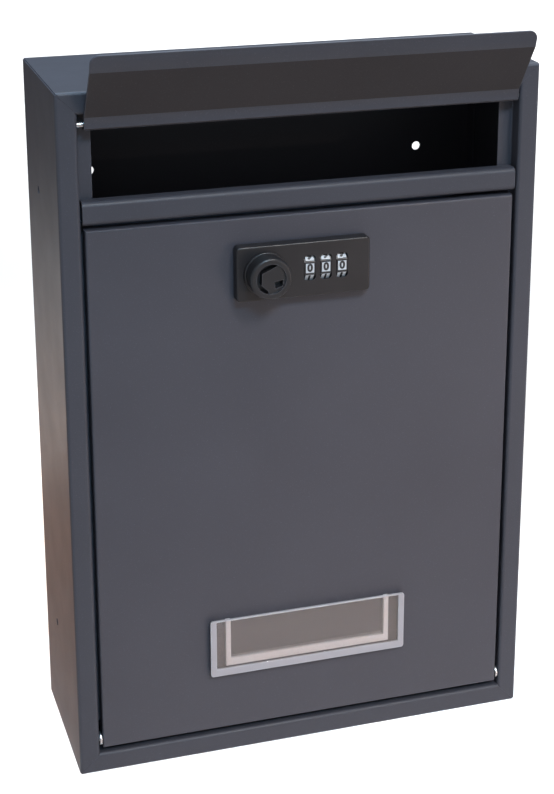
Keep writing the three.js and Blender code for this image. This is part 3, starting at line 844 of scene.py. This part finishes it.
# ---------------------------------------------------------------- inside of the lock
# Housing, axle, code sleeves, leaf spring and slider behind the door; barrel and nut that clamp
# the lock; spindle, cam, washer and screw that turn with the knob.
def refine(node, name, width, material, slot, body):
    """Takes a merged copy of a plain solid, breaks its edges and smooths its rounds."""
    only(frame["nodes"][node])
    bpy.ops.object.duplicate()
    piece = bpy.context.object
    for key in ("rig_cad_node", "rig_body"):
        del piece[key]
    piece.parent = None
    bpy.ops.object.mode_set(mode="EDIT")
    bpy.ops.mesh.select_all(action="SELECT")
    bpy.ops.mesh.remove_doubles(threshold=2e-6)
    bpy.ops.mesh.dissolve_limited(angle_limit=math.radians(2))
    bpy.ops.object.mode_set(mode="OBJECT")
    round_edges(piece, width, segments=2, angle=35)
    smooth(piece)
    return dress(piece, name, material, slot, body, node)


moulded = (black, "black_plastic")
drawn = (drawn_steel, "bright_steel")
plated = (zinc, "zinc_plated_steel")
refine("lock_housing", "lock_case", 0.0003, *moulded, "door")
refine("reset_lever", "code_slider", 0.0003, *moulded, "reset")
refine("wheel_axle", "lock_axle", 0.0001, *drawn, "door")
refine("detent_spring", "leaf_spring", 0.00008, *drawn, "door")
for number in (1, 2, 3):
    refine(f"code_sleeve_{number}", f"sleeve_{number}", 0.00012, *drawn, f"wheel_{number}")
refine("lock_barrel", "threaded_barrel", 0.0002, *plated, "door")
refine("barrel_nut", "clamp_nut", 0.0003, *plated, "door")
refine("lock_screw", "fixing_screw", 0.0002, *plated, "door")
refine("spindle", "turn_spindle", 0.0002, *plated, "knob")
refine("cam", "latch_cam", 0.0003, *plated, "knob")
refine("cam_washer", "latch_washer", 0.0001, *plated, "knob")
refine("cam_screw", "latch_screw", 0.0003, *plated, "knob")


# ---------------------------------------------------------------- name holder
# Clear moulded pocket for a paper card, stuck to the door: a thin lens with a pale rim stands
# on a pale U-shaped rib, and the card goes in from above. The paleness of the rim and rib and
# the bright rim edges are a painted highlight of light caught in the clear plastic's edges.
def clear_plastic(name, tone, shine, see_through, body, edge=None):
    """Clear moulding with faint waves, fine scuffs, a given tone and, if asked, bright edges painted as
    a highlight.
    """
    plastic, bsdf, tree, place = blank_material(name)
    bsdf.inputs["Base Color"].default_value = (*tone, 1)
    bsdf.inputs["Transmission Weight"].default_value = see_through
    bsdf.inputs["IOR"].default_value = 1.49
    bsdf.inputs["Alpha"].default_value = body
    scuffs = scaled(tree, cloudy(tree, place, 160, 6), shine, shine + 0.12)
    tree.links.new(scuffs, bsdf.inputs["Roughness"])
    relief(tree, cloudy(tree, place, 60, 2), 0.1, 0.00005, bsdf)
    if edge:
        # Bright edges: a painted highlight
        bright = tone_between(tree, edge_highlight_mask(tree, 0.0005, 1), tone, edge)
        tree.links.new(bright, bsdf.inputs["Base Color"])
    return plastic


# The lens lays a pale warm veil over the door behind it; its warmth is a painted reflection of warm
# surroundings
lens_clear = clear_plastic("clear_moulding", (0.74, 0.62, 0.56), 0.04, 0.8, 0.4)
# Rim and rib: pale tones and bright edges painted as a highlight of light caught in the clear edges
rim_edge_highlight = (0.85, 0.85, 0.88)
rim_highlight_paint = clear_plastic("rim_painted_highlight", (0.41, 0.385, 0.41), 0.25, 0.2, 1.0, rim_edge_highlight)
rib_highlight_paint = clear_plastic("rib_painted_highlight", (0.86, 0.83, 0.85), 0.3, 0.2, 1.0)
holder_low, holder_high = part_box("nameplate_holder")
lens_thickness = 0.0012
lens_corner = 0.0012
lens_back = holder_low.y + lens_thickness
moulded_edge = 0.00025
rim_side = 0.0028
rim_foot = 0.0036
rim_top = 0.0007
rim_step = 0.0003
lens = add_block(holder_low, (holder_high.x, lens_back, holder_high.z))
bevel_picked(lens, lambda a, b: abs(a.y - b.y) > lens_thickness / 2, lens_corner, 5)
pane_low = Vector((holder_low.x + rim_side, 0, holder_low.z + rim_foot))
pane_high = Vector((holder_high.x - rim_side, 0, holder_high.z - rim_top))
only(lens)
bpy.ops.object.mode_set(mode="EDIT")
for along in ((1, 0, 0), (0, 0, 1)):
    for point in (pane_low, pane_high):
        bpy.ops.mesh.select_all(action="SELECT")
        bpy.ops.mesh.bisect(plane_co=point, plane_no=along, threshold=1e-7)
bpy.ops.object.mode_set(mode="OBJECT")


def in_pane(centre):
    return pane_low.x < centre.x < pane_high.x and pane_low.z < centre.z < pane_high.z


pick(lens, "FACE", lambda centre, normal: normal.y < -0.9 and in_pane(centre))
bpy.ops.mesh.extrude_region_move(TRANSFORM_OT_translate={"value": (0, rim_step, 0)})
bpy.ops.object.mode_set(mode="OBJECT")
round_edges(lens, moulded_edge, segments=3, angle=50)
smooth(lens)
dress(lens, "name_lens", lens_clear, "clear_plastic", "door", "nameplate_holder")
# Faces off the pane take the rim's painted highlight
lens.data.materials.append(rim_highlight_paint)
for face in lens.data.polygons:
    if not in_pane(face.center):
        face.material_index = 1

rib_half = 0.0398
rib_width = 0.0024
rib_floor = holder_low.z + 0.0042
rib_foot = 0.0036
rib_gap = 0.00002
rib_drop = 0.0006
middle_x = (holder_low.x + holder_high.x) / 2
rib = add_block(
    (middle_x - rib_half, lens_back + rib_gap, rib_floor),
    (middle_x + rib_half, holder_high.y, holder_high.z - rib_drop),
)
inside = rib_half - rib_width
cutter = add_block(
    (middle_x - inside, lens_back - past, rib_floor + rib_foot),
    (middle_x + inside, holder_high.y + past, holder_high.z + past),
)
cut(rib, cutter)
round_edges(rib, moulded_edge, segments=3, angle=50)
smooth(rib)
dress(rib, "name_rib", rib_highlight_paint, "clear_plastic", "door")
